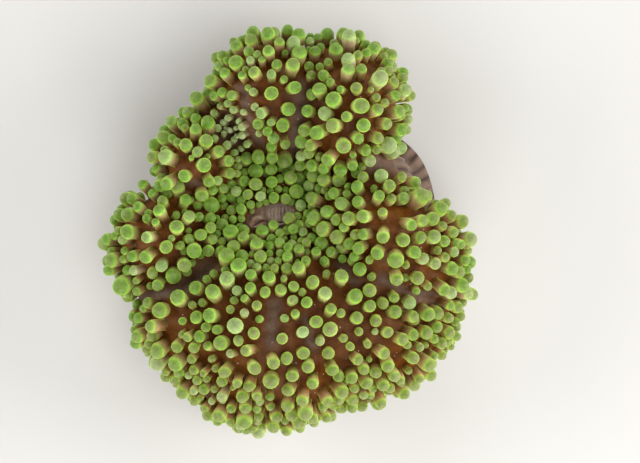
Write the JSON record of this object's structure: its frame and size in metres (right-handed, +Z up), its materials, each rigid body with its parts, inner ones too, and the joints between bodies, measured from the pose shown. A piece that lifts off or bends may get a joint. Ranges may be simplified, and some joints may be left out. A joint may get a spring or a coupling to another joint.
{
  "type": "sea anemone",
  "caption": "Small carpet anemone on its foot: a lobed, folded disc closely set with short green bead-tipped tentacles round a slit mouth.",
  "frame": {"origin": "centre of the foot's flat underside", "axes": "+Z up out of the floor; +X and +Y lie in the floor, and the long way of the disc runs along Y; the mouth lies 3.8 mm from the origin towards -X"},
  "size_m": [0.0377, 0.0413, 0.0174],
  "materials": {
    "foot_skin": "moist mauve-brown skin, paler than the column",
    "column_skin": "moist mauve-brown skin with lengthwise ridges",
    "mouth_skin": "pinkish mauve-grey ridged lips",
    "disc_skin": "wet maroon-brown to lilac-grey skin",
    "tentacle_skin": "translucent green beads on beige stalks that darken to rust-brown at the base"
  },
  "bodies": {
    "root": {"pedal_disc": "foot_skin", "column": "column_skin", "mouth": "mouth_skin", "peristome": "disc_skin", "lobe_upper_right": "tentacle_skin", "lobe_upper_left": "tentacle_skin", "lobe_left": "tentacle_skin", "lobe_west": "tentacle_skin", "lobe_lower": "tentacle_skin", "lobe_lower_right": "tentacle_skin", "lobe_right": "tentacle_skin"}
  },
  "joints": []
}
